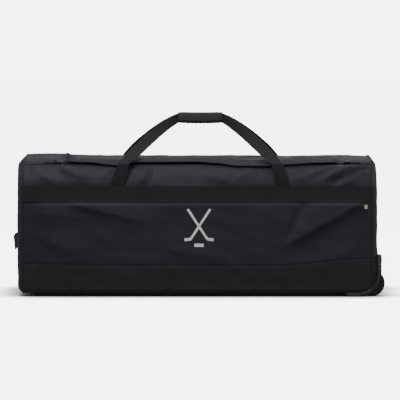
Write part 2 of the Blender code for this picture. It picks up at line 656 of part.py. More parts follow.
def make_rivets(side, middle, guard, base, end_panel, steel):
    """One rivet through the guard's upright leg and one up through its foot."""
    head, tail = RIVET_HEAD_T, RIVET_HEAD_T * 0.75
    upright_z = (CORNER.y + GUARD_TOP_Z) / 2 + 0.010
    face = X_END + GAP + GUARD_T
    inner = X_END - CLOTH - GAP
    profile = [
        (inner - tail, RIVET_HEAD_R * 0.7),
        (inner, RIVET_HEAD_R * 0.8),
        (inner, RIVET_R),
        (face + GAP, RIVET_R),
        (face + GAP, RIVET_HEAD_R),
        (face + head, RIVET_HEAD_R * 0.6),
    ]
    shape = turned("X", (middle, upright_z), profile, 20)
    place_object(f"{side}_guard_end_rivet", shape, steel, smooth=True)
    for panel in (guard, end_panel):
        hole = disc("X", (middle, upright_z), RIVET_R + GAP, inner - CLOTH, face + CLOTH, 20)
        combine(panel, f"{side}_{panel.name}_end_hole", hole)

    foot_x = GUARD_FOOT_X + 2.4 * RIVET_HEAD_R
    sole = BASE_Z - GAP - GUARD_T
    seat = sole + head + 2 * GAP
    top = BASE_Z + CLOTH + GAP
    profile = [
        (sole + GAP, RIVET_HEAD_R * 0.8),
        (seat - GAP, RIVET_HEAD_R),
        (seat - GAP, RIVET_R),
        (top, RIVET_R),
        (top, RIVET_HEAD_R * 0.8),
        (top + tail, RIVET_HEAD_R * 0.7),
    ]
    place_object(f"{side}_guard_foot_rivet", turned("Z", (foot_x, middle), profile, 20), steel, smooth=True)
    seat_hole = disc("Z", (foot_x, middle), RIVET_HEAD_R + GAP, sole - CLOTH, seat, 20)
    combine(guard, f"{side}_guard_foot_seat", seat_hole)
    for panel in (guard, base):
        hole = disc("Z", (foot_x, middle), RIVET_R + GAP, sole - CLOTH, top + CLOTH, 20)
        combine(panel, f"{side}_{panel.name}_foot_hole", hole)


def make_label(material):
    x, z = LABEL_PLACE
    width, tall, thick = LABEL
    face = -HALF_D - GAP
    low = (x - width / 2, face - thick, z - tall / 2)
    place_object("side_label", box(low, (x + width / 2, face, z + tall / 2)), material)


def main():
    clear_scene()
    fabric = make_material("fabric", (0.019, 0.019, 0.023), 0.62)
    lower_fabric = make_material("lower_fabric", (0.013, 0.013, 0.015), 0.70)
    webbing = make_material("webbing", (0.014, 0.014, 0.016), 0.78)
    cord = make_material("binding", (0.010, 0.010, 0.011), 0.70)
    zip_tape = make_material("zip_tape", (0.008, 0.008, 0.009), 0.55)
    metal = make_material("slider_metal", (0.030, 0.030, 0.032), 0.35, 0.8)
    pad = make_material("grip_pad", (0.032, 0.030, 0.033), 0.70)
    board = make_material("board", (0.020, 0.020, 0.020), 0.60)
    plastic = make_material("guard_plastic", (0.022, 0.022, 0.023), 0.42)
    rubber = make_material("tyre_rubber", (0.012, 0.012, 0.013), 0.60)
    hub_plastic = make_material("hub_plastic", (0.050, 0.050, 0.052), 0.45)
    steel = make_material("steel", (0.45, 0.45, 0.46), 0.35, 1.0)
    label = make_material("label_weave", (0.55, 0.53, 0.40), 0.75)

    make_side_panels(fabric, lower_fabric, webbing)
    base, kick_panel = make_base(lower_fabric, board)
    end_panel = make_ends(fabric, cord)
    make_top(fabric, zip_tape)
    make_lid(fabric, zip_tape)
    make_zip_sliders(metal, cord)
    make_handles(webbing, pad)
    make_end_handle(webbing)
    make_runners(plastic)
    for side, sign in (("front", -1), ("rear", 1)):
        make_wheel(side, sign, (plastic, rubber, hub_plastic, steel), base, kick_panel, end_panel)
    make_label(label)


main()
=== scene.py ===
"""Looks of the wheeled equipment bag: sewn cloth shell, webbing, zip, grip, guards and wheels."""

import math

import bmesh
import bpy
from mathutils import Matrix, Vector, noise


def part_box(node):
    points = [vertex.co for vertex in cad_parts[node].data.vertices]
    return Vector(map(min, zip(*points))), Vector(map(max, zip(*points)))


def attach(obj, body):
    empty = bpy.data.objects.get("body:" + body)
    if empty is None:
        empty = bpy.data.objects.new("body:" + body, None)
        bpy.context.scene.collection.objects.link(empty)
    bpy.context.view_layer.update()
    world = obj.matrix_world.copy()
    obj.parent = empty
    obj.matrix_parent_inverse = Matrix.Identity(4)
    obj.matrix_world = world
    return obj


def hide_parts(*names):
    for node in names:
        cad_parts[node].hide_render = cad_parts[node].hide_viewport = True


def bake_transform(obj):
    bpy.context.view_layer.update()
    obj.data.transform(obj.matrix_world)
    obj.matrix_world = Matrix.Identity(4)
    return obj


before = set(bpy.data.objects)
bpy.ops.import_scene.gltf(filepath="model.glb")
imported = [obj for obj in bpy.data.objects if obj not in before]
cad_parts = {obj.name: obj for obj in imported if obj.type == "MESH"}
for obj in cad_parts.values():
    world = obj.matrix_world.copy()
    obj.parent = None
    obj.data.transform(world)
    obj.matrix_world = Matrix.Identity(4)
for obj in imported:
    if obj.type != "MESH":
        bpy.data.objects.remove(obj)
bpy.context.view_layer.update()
bpy.ops.object.select_all(action="DESELECT")

# ---- sizes from the frame
LOW_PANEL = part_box("front_lower_panel")
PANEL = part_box("front_panel")
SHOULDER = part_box("front_shoulder_panel")
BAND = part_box("front_band")
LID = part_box("lid_panel")
LEFT_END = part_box("left_end_panel")
RIGHT_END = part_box("right_end_panel")
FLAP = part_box("storm_flap")

FRONT_Y = PANEL[0][1]
HALF_D = -FRONT_Y
BASE_Z = LOW_PANEL[0][2]
TOP_Z = LID[1][2]
SHOULDER_R = HALF_D - LID[1][1]
SHOULDER_Z = TOP_Z - SHOULDER_R
X_SEAM = PANEL[1][0]
LOWER_SEAM_Z = PANEL[0][2]
UPPER_SEAM_Z = SHOULDER[0][2]
CLOTH_T = 0.0022
SEAM_DIP = 0.0007  # how far a panel sinks at its sewn edges
STRAP_W = 0.038
STRAP_T = 0.0019
ROW_INSET = 0.0035  # first row of stitches in from an edge
LAP = 0.0006  # clearance round the lid
MERGE = 0.00001
CAD_MERGE = 0.00002
ALONG, ACROSS = Vector((1, 0, 0)), Vector((0, 1, 0))
WAVE_PITCH = 0.314  # spacing of a wave texture's bands at scale 1

# Distance along the cross-section: middle of the base, front, top, rear.
S_WALL = HALF_D
S_SHOULDER = S_WALL + SHOULDER_Z - BASE_Z
S_TOP = S_SHOULDER + SHOULDER_R * math.pi / 2
S_MIDDLE = S_TOP + HALF_D - SHOULDER_R
S_HINGE = S_MIDDLE + HALF_D - SHOULDER_R
S_ALL = 2 * S_MIDDLE
ZIP_ANGLE = math.radians(60)
S_ZIP = S_SHOULDER + SHOULDER_R * ZIP_ANGLE
ZIP_HALF = 0.0075


# ---- small helpers
def centre_of(box):
    return (Vector(box[0]) + Vector(box[1])) / 2


def smooth(low, high, value):
    """0 below low, 1 above high, and an even curve between."""
    t = min(1.0, max(0.0, (value - low) / (high - low)))
    return t * t * (3 - 2 * t)


def follow(points, value):
    """Smooth curve through (place, amount) pairs."""
    if value <= points[0][0]:
        return points[0][1]
    for (a, va), (b, vb) in zip(points, points[1:]):
        if value <= b:
            return va + (vb - va) * smooth(a, b, value)
    return points[-1][1]


def s_wall(z):
    return S_WALL + z - BASE_Z


def s_angle(degrees):
    return S_SHOULDER + SHOULDER_R * math.radians(degrees)


def section(s):
    """Place (y, z) and outward normal on the unworn cross-section."""
    if s > S_MIDDLE:
        place, normal = section(S_ALL - s)
        return Vector((-place.x, place.y)), Vector((-normal.x, normal.y))
    if s < S_SHOULDER:
        return Vector((-HALF_D, BASE_Z + s - S_WALL)), Vector((-1, 0))
    if s < S_TOP:
        angle = (s - S_SHOULDER) / SHOULDER_R
        normal = Vector((-math.cos(angle), math.sin(angle)))
        return Vector((-HALF_D + SHOULDER_R, SHOULDER_Z)) + SHOULDER_R * normal, normal
    return Vector((-HALF_D + SHOULDER_R + s - S_TOP, TOP_Z)), Vector((0, 1))


# ---- folds in the cloth
# Each fold runs from (x, height up the side) to the same at its other end. Then come its own
# height and how far it fades above and below its line.
FRONT_FOLDS = [
    (0.455, 0.262, 0.235, 0.138, 0.0100, 0.070, 0.016), (0.300, 0.262, 0.245, 0.150, -0.0060, 0.020, 0.016),
    (-0.345, 0.258, -0.140, 0.205, 0.0062, 0.050, 0.014),
    (-0.440, 0.235, -0.300, 0.215, 0.0024, 0.030, 0.020), (0.478, 0.392, 0.345, 0.322, 0.0095, 0.016, 0.010),
    (0.470, 0.365, 0.372, 0.312, -0.0085, 0.012, 0.010), (0.462, 0.352, 0.405, 0.312, 0.0065, 0.010, 0.009),
    (0.395, 0.372, 0.300, 0.335, 0.0062, 0.016, 0.010), (-0.140, 0.372, -0.150, 0.310, 0.0056, 0.013, 0.010),
    (-0.118, 0.366, -0.126, 0.318, -0.0028, 0.011, 0.010),
    (-0.430, 0.392, -0.345, 0.345, 0.0068, 0.018, 0.012),
    (-0.455, 0.360, -0.400, 0.316, 0.0040, 0.014, 0.011),
    (-0.370, 0.352, -0.300, 0.325, 0.0048, 0.018, 0.014),
    (-0.235, 0.366, -0.265, 0.322, 0.0034, 0.014, 0.012), (0.262, 0.360, 0.300, 0.318, 0.0030, 0.014, 0.012),
    (0.160, 0.350, 0.105, 0.325, 0.0030, 0.018, 0.014), (0.020, 0.345, 0.085, 0.322, 0.0024, 0.018, 0.014),
    (-0.080, 0.130, 0.080, 0.108, 0.0020, 0.026, 0.020),
    (-0.410, 0.150, -0.300, 0.112, 0.0026, 0.028, 0.022), (0.330, 0.100, 0.440, 0.128, 0.0026, 0.020, 0.020),
]
REAR_FOLDS = [
    (-0.400, 0.262, -0.210, 0.150, 0.0062, 0.060, 0.020), (0.330, 0.258, 0.150, 0.200, 0.0040, 0.050, 0.018),
    (0.460, 0.380, 0.360, 0.325, 0.0056, 0.018, 0.013), (-0.460, 0.380, -0.380, 0.320, 0.0050, 0.018, 0.013),
    (0.120, 0.370, 0.140, 0.320, 0.0034, 0.014, 0.012), (-0.100, 0.360, -0.140, 0.322, 0.0030, 0.014, 0.012),
    (-0.060, 0.130, 0.090, 0.110, 0.0022, 0.026, 0.020),
]


def fold(side, x0, z0, x1, z1, height, above, below):
    s0, s1 = s_wall(z0), s_wall(z1)
    if side == "rear":
        s0, s1 = S_ALL - s0, S_ALL - s1
        above, below = below, above
    return (x0, s0, x1, s1, height, above, below)


FOLDS = [fold("front", *line) for line in FRONT_FOLDS] + [fold("rear", *line) for line in REAR_FOLDS]


def folds_at(x, s):
    """Height of all folds at one place, fading out towards their ends."""
    total = 0.0
    for x0, s0, x1, s1, height, above, below in FOLDS:
        run = Vector((x1 - x0, s1 - s0))
        length = run.length
        run /= length
        offset = Vector((x - x0, s - s0))
        along = offset.dot(run) / length
        if along < -0.15 or along > 1.15:
            continue
        across = offset.y * abs(run.x) - offset.x * run.y * (1 if run.x >= 0 else -1)
        reach = above if across > 0 else below
        if abs(across) > 3 * reach:
            continue
        ends = smooth(-0.15, 0.12, along) * (1 - smooth(0.70, 1.15, along))
        total += height * ends * math.exp(-abs(across / reach) ** 1.35)
    return total


# Height of the top along the bag: it sags towards the wheel end.
TOP_LEVEL = [
    (-0.42, 0.0020), (-0.30, 0.0005), (-0.05, 0.0), (0.12, -0.0040), (0.30, -0.0045), (0.42, -0.0010),
]


def fill(x, s):
    """How far the filled bag stands out of its plain section: bellies, sag and wrinkles."""
    on_rear = s > S_MIDDLE
    near = S_ALL - s if on_rear else s
    inward = 1 - smooth(X_SEAM - 0.070, X_SEAM, abs(x))
    wall = smooth(S_WALL, s_wall(LOWER_SEAM_Z) + 0.02, near)
    wall *= 1 - smooth(S_SHOULDER - 0.05, S_SHOULDER, near)
    on_top = smooth(S_TOP - 0.05, S_TOP + 0.03, near)
    out = 0.0045 * wall * inward
    out -= 0.0012 * (1 - inward)
    out += on_top * follow(TOP_LEVEL, x)
    seed = 7.0 if on_rear else 0.0
    slow = noise.noise(Vector((x * 5.0, s * 9.0, seed)))
    quick = noise.noise(Vector((x * 17.0 + s * 6.0, s * 30.0, seed + 3.0)))
    fine = noise.noise(Vector((x * 46.0 - s * 20.0, s * 62.0, seed + 9.0)))
    lively = 0.72 + 0.55 * smooth(S_SHOULDER - 0.06, S_SHOULDER + 0.02, near)
    out += lively * (0.0026 * slow + 0.0014 * quick + 0.0004 * fine)
    under_band = smooth(s_wall(BAND[0][2]) - 0.008, s_wall(BAND[0][2]) + 0.004, near)
    under_band *= 1 - smooth(s_wall(BAND[1][2]) - 0.004, s_wall(BAND[1][2]) + 0.008, near)
    at_zip = 0.0 if on_rear else 1 - smooth(ZIP_HALF * 1.3, ZIP_HALF * 3.2, abs(s - S_ZIP))
    return (out + folds_at(x, s)) * (1 - 0.55 * under_band) * (1 - 0.92 * at_zip)


def skin(x, s, out=0.0, calm=0.0):
    """Point on the filled bag, raised by out; calm flattens the wrinkles, as webbing does."""
    place, normal = section(s)
    lift = fill(x, s) * (1 - calm)
    point = place + (lift + out) * normal
    return Vector((x, point.x, point.y))


def outward(s):
    normal = section(s)[1]
    return Vector((0, normal.x, normal.y))


# ---- making pieces
def pick(piece):
    bpy.ops.object.select_all(action="DESELECT")
    piece.select_set(True)
    bpy.context.view_layer.objects.active = piece


def finish_piece(piece, materials, body, slot, nodes=(), angle=38):
    """Apply modifiers, give the finish, tie the piece to its body and hide the CAD nodes it stands for."""
    for material in materials if isinstance(materials, (list, tuple)) else [materials]:
        piece.data.materials.append(material)
    pick(piece)
    for modifier in list(piece.modifiers):
        bpy.ops.object.modifier_apply(modifier=modifier.name)
    bpy.ops.object.shade_smooth_by_angle(angle=math.radians(angle))
    piece.select_set(False)
    if body:
        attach(piece, body)
    if nodes:
        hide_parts(*nodes)
    return piece


def edit(piece, *steps):
    """Run edit-mode steps on the whole piece."""
    pick(piece)
    bpy.ops.object.mode_set(mode="EDIT")
    for step in steps:
        bpy.ops.mesh.select_all(action="SELECT")
        step()
    bpy.ops.object.mode_set(mode="OBJECT")


def close_up(piece, threshold=MERGE, capped=True):
    """Merge doubles, cap the open ends and turn the faces outwards."""
    edit(piece, lambda: bpy.ops.mesh.remove_doubles(threshold=threshold))
    if capped:
        edit(piece, lambda: bpy.ops.mesh.fill_holes(sides=0))
    edit(piece, lambda: bpy.ops.mesh.normals_make_consistent(inside=False))


def give_wall(piece, thick, offset=-1.0, lined=False):
    wall = piece.modifiers.new("wall", "SOLIDIFY")
    wall.thickness = thick
    wall.offset = offset
    wall.material_offset = 1 if lined else 0


def soften(piece, width, angle=30):
    edge = piece.modifiers.new("edge", "BEVEL")
    edge.width = width
    edge.segments = 2
    edge.limit_method = "ANGLE"
    edge.angle_limit = math.radians(angle)


def flat_grid(name, rows, flat, facing=None):
    """Flat sheet of cloth or webbing, draped through rows of points; its UV keeps the flat cut."""
    bpy.ops.mesh.primitive_grid_add(x_subdivisions=len(rows[0]) - 1, y_subdivisions=len(rows) - 1, size=1)
    piece = bpy.context.object
    piece.name = name
    points = [point for row in rows for point in row]
    places = [place for row in flat for place in row]
    for vert in piece.data.vertices:
        vert.co = points[vert.index]
    layer = piece.data.uv_layers[0]
    layer.name = "flat"
    for loop in piece.data.loops:
        layer.data[loop.index].uv = places[loop.vertex_index]
    piece.data.update()
    if facing is not None:
        middle = piece.data.polygons[len(piece.data.polygons) // 2]
        if middle.normal.dot(facing) < 0:
            edit(piece, bpy.ops.mesh.flip_normals)
    return piece


def draped(name, columns, lines, place, facing):
    """Flat grid whose place function gives each point and where it lies on the flat cut."""
    cells = [[place(line, column) for column in columns] for line in lines]
    rows = [[point for point, _ in row] for row in cells]
    flat = [[lie for _, lie in row] for row in cells]
    return flat_grid(name, rows, flat, facing)


def cord_grid(name, points, radius, closed=False, sides=8, up=ALONG):
    """Round cord: a strip rolled round a line and closed along its seam."""
    rows, flat, run = [], [], 0.0
    line = points + [points[0]] if closed else points
    count = len(points)
    for i, point in enumerate(line):
        k = i % count
        before = points[k - 1] if k or closed else point
        after = points[(k + 1) % count] if k < count - 1 or closed else point
        tangent = (after - before).normalized()
        side = (up - tangent * up.dot(tangent)).normalized()
        other = tangent.cross(side)
        turns = [2 * math.pi * j / sides for j in range(sides + 1)]
        rows.append([point + radius * (math.cos(t) * side + math.sin(t) * other) for t in turns])
        run += (point - line[i - 1]).length if i else 0.0
        flat.append([(run, t * radius) for t in turns])
    piece = flat_grid(name, rows, flat)
    close_up(piece, capped=not closed)
    return piece


def strap(name, stations, material, body, slot, nodes=()):
    """Webbing through (place, across, normal, width, thickness), with softened selvedges."""
    rows, flat, run = [], [], 0.0
    for i, (place, across, normal, width, thick) in enumerate(stations):
        run += (place - stations[i - 1][0]).length if i else 0.0
        across = across.normalized()
        steps = spread(-0.5, 0.5, 6)
        rows.append([place + across * width * a + normal.normalized() * thick / 2 for a in steps])
        flat.append([((a + 0.5) * width, run) for a in steps])
    middle = stations[len(stations) // 2]
    piece = flat_grid(name, rows, flat, middle[2])
    give_wall(piece, stations[0][4])
    soften(piece, stations[0][4] * 0.22, 50)
    return finish_piece(piece, material, body, slot, nodes)


def spread(low, high, count):
    return [low + (high - low) * i / count for i in range(count + 1)]


def cloth(
    name, x_range, s_low, s_high, counts, materials, body, slot, nodes, out=0.0, thick=CLOTH_T, turned=False
):
    """Sewn panel between two lines of the section; the lines may be functions of x."""
    low = s_low if callable(s_low) else lambda x: s_low
    high = s_high if callable(s_high) else lambda x: s_high

    def place(t, x):
        s = low(x) + (high(x) - low(x)) * t
        tuck = min(s - low(x), high(x) - s)
        dip = -SEAM_DIP * (1 - smooth(0.0, 0.004, tuck)) if thick == CLOTH_T else 0.0
        return skin(x, s, out + dip), (s, x) if turned else (x, s)

    columns, lines = spread(*x_range, counts[0]), spread(0.0, 1.0, counts[1])
    piece = draped(name, columns, lines, place, outward((low(0) + high(0)) / 2))
    give_wall(piece, thick, lined=isinstance(materials, list))
    return finish_piece(piece, materials, body, slot, nodes)


def stitches(name, points, material, body, slot, pitch=0.0052, length=0.0036, radius=0.00050, lift=None):
    """Row of thread along a line: one stitch, then a copy at every pitch."""
    bpy.ops.mesh.primitive_uv_sphere_add(segments=6, ring_count=4, radius=1)
    piece = bpy.context.object
    piece.name = name
    row = bmesh.new()
    run, next_at = 0.0, pitch / 2
    for a, b in zip(points, points[1:]):
        span = (b - a).length
        while span > 0 and next_at < run + span:
            way = (b - a).normalized()
            side = way.cross(lift).normalized()
            up = side.cross(way)
            turn = Matrix((way * length / 2, side * radius, up * radius * 0.8)).transposed().to_4x4()
            copy = piece.data.copy()
            copy.transform(Matrix.Translation(a.lerp(b, (next_at - run) / span)) @ turn)
            row.from_mesh(copy)
            bpy.data.meshes.remove(copy)
            next_at += pitch
        run += span
    bmesh.ops.recalc_face_normals(row, faces=row.faces)
    row.to_mesh(piece.data)
    row.free()
    return finish_piece(piece, material, body, slot)


def refined(node, material, body, slot, bevel=0.0008, angle=35):
    """Moulded piece with its CAD node's shape and softened edges."""
    bpy.ops.object.select_all(action="DESELECT")
    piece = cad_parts[node].copy()
    piece.data = piece.data.copy()
    piece.name = node + "_finish"
    piece.parent = None
    piece.matrix_world = Matrix.Identity(4)
    piece.data.materials.clear()
    for key in list(piece.keys()):
        del piece[key]
    bpy.context.scene.collection.objects.link(piece)
    edit(
        piece,
        lambda: bpy.ops.mesh.remove_doubles(threshold=CAD_MERGE),
        lambda: bpy.ops.mesh.dissolve_limited(angle_limit=math.radians(1.0)),
    )
    soften(piece, bevel, angle)
    return finish_piece(piece, material, body, slot, [node], angle)


# ---- materials
def new_material(name, colour, roughness, metallic=0.0, sheen=0.0, specular=0.5):
    material = bpy.data.materials.new(name)
    material.use_nodes = True
    shader = material.node_tree.nodes["Principled BSDF"]
    finish = {"Base Color": (*colour, 1), "Roughness": roughness, "Metallic": metallic}
    finish |= {"Sheen Weight": sheen, "Sheen Roughness": 0.45, "Specular IOR Level": specular}
    for socket, value in finish.items():
        shader.inputs[socket].default_value = value
    return material, material.node_tree, shader


def add_node(tree, kind, **settings):
    """New node; a setting is another node's output to link, an input's value or a property."""
    node = tree.nodes.new(kind)
    for key, value in settings.items():
        if isinstance(value, bpy.types.NodeSocket):
            tree.links.new(value, node.inputs[key])
        elif key in node.inputs:
            node.inputs[key].default_value = value
        else:
            setattr(node, key, value)
    return node


def compute(tree, operation, *values):
    """Math node on outputs of other nodes and plain numbers."""
    node = add_node(tree, "ShaderNodeMath", operation=operation)
    for socket, value in zip(node.inputs, values):
        if isinstance(value, bpy.types.NodeSocket):
            tree.links.new(value, socket)
        else:
            socket.default_value = value
    return node.outputs["Value"]


def flat_and_place(tree):
    """The piece's flat cut, for threads, and its place, for patches."""
    flat = add_node(tree, "ShaderNodeUVMap", uv_map="flat").outputs["UV"]
    return flat, add_node(tree, "ShaderNodeTexCoord").outputs["Object"]


def bands(tree, source, pitch, direction="X", distortion=0.0):
    wave = add_node(tree, "ShaderNodeTexWave", Scale=WAVE_PITCH / pitch, Distortion=distortion, Vector=source)
    wave.bands_direction = direction
    return wave


def two_tone(tree, factor, colour, low, high, ends=(0.0, 1.0)):
    """Colour running from low times itself to high times itself."""
    ramp = add_node(tree, "ShaderNodeValToRGB", Fac=factor)
    for element, at, tone in zip(ramp.color_ramp.elements, ends, (low, high)):
        element.position = at
        element.color = (*[c * tone for c in colour], 1)
    return ramp.outputs["Color"]


def vary_colour(tree, shader, source, colour, change, scale):
    """Slow patches of slightly lighter and darker colour."""
    patches = add_node(tree, "ShaderNodeTexNoise", Scale=scale, Detail=4.0, Vector=source).outputs["Fac"]
    tones = two_tone(tree, patches, colour, 1 - change, 1 + change, (0.30, 0.70))
    tree.links.new(tones, shader.inputs["Base Color"])
    return patches


def vary_roughness(tree, shader, patches, low, high):
    ends = {"From Min": 0.3, "From Max": 0.7, "To Min": low, "To Max": high}
    graded = add_node(tree, "ShaderNodeMapRange", Value=patches, **ends)
    tree.links.new(graded.outputs["Result"], shader.inputs["Roughness"])


def add_bump(tree, shader, heights, distance, strength=1.0):
    bump = add_node(tree, "ShaderNodeBump", Strength=strength, Distance=distance, Height=heights)
    tree.links.new(bump.outputs["Normal"], shader.inputs["Normal"])


def weave_heights(tree, source, thread):
    """Over-and-under threads from two crossed waves on the flat cloth."""
    warp, weft = (bands(tree, source, thread, way).outputs["Fac"] for way in ("X", "Y"))
    return compute(tree, "MULTIPLY", warp, weft)


def cloth_material(name, colour, change, rough, thread, sheen, specular=0.4, mapped=True):
    """Coated woven polyester on its own flat coordinates, or on its place where it has none."""
    material, tree, shader = new_material(name, colour, rough[0], sheen=sheen, specular=specular)
    flat, place = flat_and_place(tree)
    patches = vary_colour(tree, shader, place, colour, change, 9.0)
    vary_roughness(tree, shader, patches, *rough)
    threads = weave_heights(tree, flat if mapped else place, thread)
    crumple = add_node(tree, "ShaderNodeTexNoise", Scale=75.0, Detail=5.0, Vector=place)
    heights = compute(tree, "MULTIPLY_ADD", threads, 0.22, crumple.outputs["Fac"])
    add_bump(tree, shader, heights, 0.0011, 0.55)
    return material


def webbing_material(name, colour, rib=0.0024):
    """Ribbed strap: chevrons along the strap, with painted shade in the grooves and painted highlight on the
    ribs.
    """
    material, tree, shader = new_material(name, colour, 0.80, sheen=0.12, specular=0.25)
    flat, place = flat_and_place(tree)
    mapping = add_node(tree, "ShaderNodeMapping", Rotation=(0, 0, math.radians(45)), Vector=flat)
    wave = bands(tree, mapping.outputs["Vector"], rib, distortion=0.4)
    wave.inputs["Detail Scale"].default_value = 300.0
    patches = add_node(tree, "ShaderNodeTexNoise", Scale=24.0, Detail=3.0, Vector=place)
    soft = compute(tree, "MULTIPLY", patches.outputs["Fac"], 0.5)
    factor = compute(tree, "MULTIPLY_ADD", wave.outputs["Fac"], 0.6, soft)
    # painted shade and highlight: the colour runs from 0.72 times the webbing colour in the grooves to 1.25
    # times on the ribs, along the bump's wave, with slow random tone patches on top
    painted_rib_shade = add_node(tree, "ShaderNodeMix", data_type="RGBA")
    painted_rib_shade.inputs["A"].default_value = (*[c * 0.72 for c in colour], 1)
    painted_rib_shade.inputs["B"].default_value = (*[c * 1.25 for c in colour], 1)
    tree.links.new(factor, painted_rib_shade.inputs["Factor"])
    tree.links.new(painted_rib_shade.outputs["Result"], shader.inputs["Base Color"])
    add_bump(tree, shader, wave.outputs["Fac"], 0.0005, 0.6)
    return material


def moulded_material(name, colour, rough, grain=900.0, depth=0.0002, metallic=0.0):
    """Moulded plastic, rubber or lacquered metal with a fine grain and light scuffs."""
    material, tree, shader = new_material(name, colour, rough[0], metallic)
    place = add_node(tree, "ShaderNodeTexCoord").outputs["Object"]
    patches = vary_colour(tree, shader, place, colour, 0.18, 45.0)
    vary_roughness(tree, shader, patches, *rough)
    fine = add_node(tree, "ShaderNodeTexNoise", Scale=grain, Detail=3.0, Vector=place)
    add_bump(tree, shader, fine.outputs["Fac"], depth, 0.5)
    return material


def zip_material(name, colour):
    """Coil teeth: fine ribs across the tape, with painted shade between the teeth and painted highlight on
    their crests.
    """
    material, tree, shader = new_material(name, colour, 0.45)
    wave = bands(tree, add_node(tree, "ShaderNodeUVMap", uv_map="flat").outputs["UV"], 0.0022).outputs["Fac"]
    # painted shade and highlight: the colour runs from half the coil colour between the teeth to 1.8 times on
    # their crests, along the bump's wave
    tree.links.new(two_tone(tree, wave, colour, 0.5, 1.8), shader.inputs["Base Color"])
    add_bump(tree, shader, wave, 0.0007, 0.9)
    return material


FABRIC = cloth_material("coated_cloth", (0.0195, 0.0190, 0.0275), 0.10, (0.50, 0.62), 0.0013, 0.06, 0.30)
LOWER = cloth_material("lower_cloth", (0.0200, 0.0185, 0.0230), 0.10, (0.60, 0.70), 0.0013, 0.06, 0.3)
BASE = cloth_material("base_cloth", (0.018, 0.017, 0.0205), 0.14, (0.62, 0.74), 0.0016, 0.05, 0.3, False)
LINING = cloth_material("lining_cloth", (0.030, 0.030, 0.032), 0.10, (0.70, 0.80), 0.0011, 0.05, 0.3)
WEBBING = webbing_material("strap_webbing", (0.0190, 0.0185, 0.0215))
GRIP = cloth_material("grip_cloth", (0.034, 0.031, 0.035), 0.12, (0.66, 0.76), 0.0016, 0.15)
HOOK_EDGE = webbing_material("hook_and_loop_edge", (0.012, 0.012, 0.013), 0.0014)
BINDING = moulded_material("binding_cord", (0.0085, 0.0085, 0.0095), (0.62, 0.72), 500.0)
THREAD = moulded_material("sewing_thread", (0.030, 0.030, 0.033), (0.55, 0.65), 1500.0)
ZIP = zip_material("zip_coil", (0.010, 0.010, 0.011))
PLASTIC = moulded_material("guard_plastic", (0.021, 0.021, 0.022), (0.40, 0.52), 1100.0)
RUBBER = moulded_material("tyre_rubber", (0.014, 0.014, 0.014), (0.55, 0.70), 700.0)
HUB = moulded_material("hub_plastic", (0.045, 0.045, 0.047), (0.38, 0.50), 900.0)
LACQUER = moulded_material("slider_lacquer", (0.020, 0.020, 0.021), (0.25, 0.35), 1300.0, 0.0001, 0.6)
STEEL = moulded_material("zinc_steel", (0.36, 0.36, 0.37), (0.30, 0.42), 1300.0, 0.0001, 1.0)
PRINT = moulded_material("white_print", (0.80, 0.80, 0.80), (0.50, 0.62), 1200.0, 0.0001)
LABEL = cloth_material("label_weave", (0.56, 0.52, 0.36), 0.15, (0.70, 0.80), 0.0010, 0.1)


# ---- the cloth shell
def seam_line(x):
    """Lower seam, a little higher towards both ends."""
    rise = 0.004 * smooth(-0.30, -0.47, x) + 0.019 * smooth(0.22, 0.47, x)
    ripple = 0.0012 * noise.noise(Vector((x * 9.0, 4.0, 0.0)))
    return s_wall(LOWER_SEAM_Z + 0.001 + rise + ripple)


def side_panels():
    reach = (-X_SEAM, X_SEAM)
    upper = s_wall(UPPER_SEAM_Z)
    for side in ("front", "rear"):
        spans = {"panel": (seam_line, upper), "shoulder_panel": (upper, S_ZIP - ZIP_HALF)}
        if side == "rear":
            far = S_ALL - upper
            spans = {"panel": (far, lambda x: S_ALL - seam_line(x)), "shoulder_panel": (S_HINGE, far)}
        for part, (low, high) in spans.items():
            node = f"{side}_{part}"
            rows = 52 if part == "panel" else 44
            cloth(f"{node}_cloth", reach, low, high, (250, rows), [FABRIC, LINING], "bag", "fabric", [node])
        band = (s_wall(BAND[0][2]), s_wall(BAND[1][2]))
        if side == "rear":
            band = (S_ALL - band[1], S_ALL - band[0])
        cloth(
            f"{side}_band_webbing", (-X_SEAM + 0.001, X_SEAM - 0.001), *band, (200, 12),
            WEBBING, "bag", "webbing", [f"{side}_band"], out=0.0016, thick=0.0014,
        )
        for k, s in enumerate((band[0] + ROW_INSET, band[1] - ROW_INSET)):
            points = [skin(x, s, 0.0018) for x in spread(-X_SEAM + 0.006, X_SEAM - 0.006, 150)]
            stitches(f"{side}_band_stitches_{k}", points, THREAD, "bag", "webbing", lift=outward(s))
        lower_panel(side)


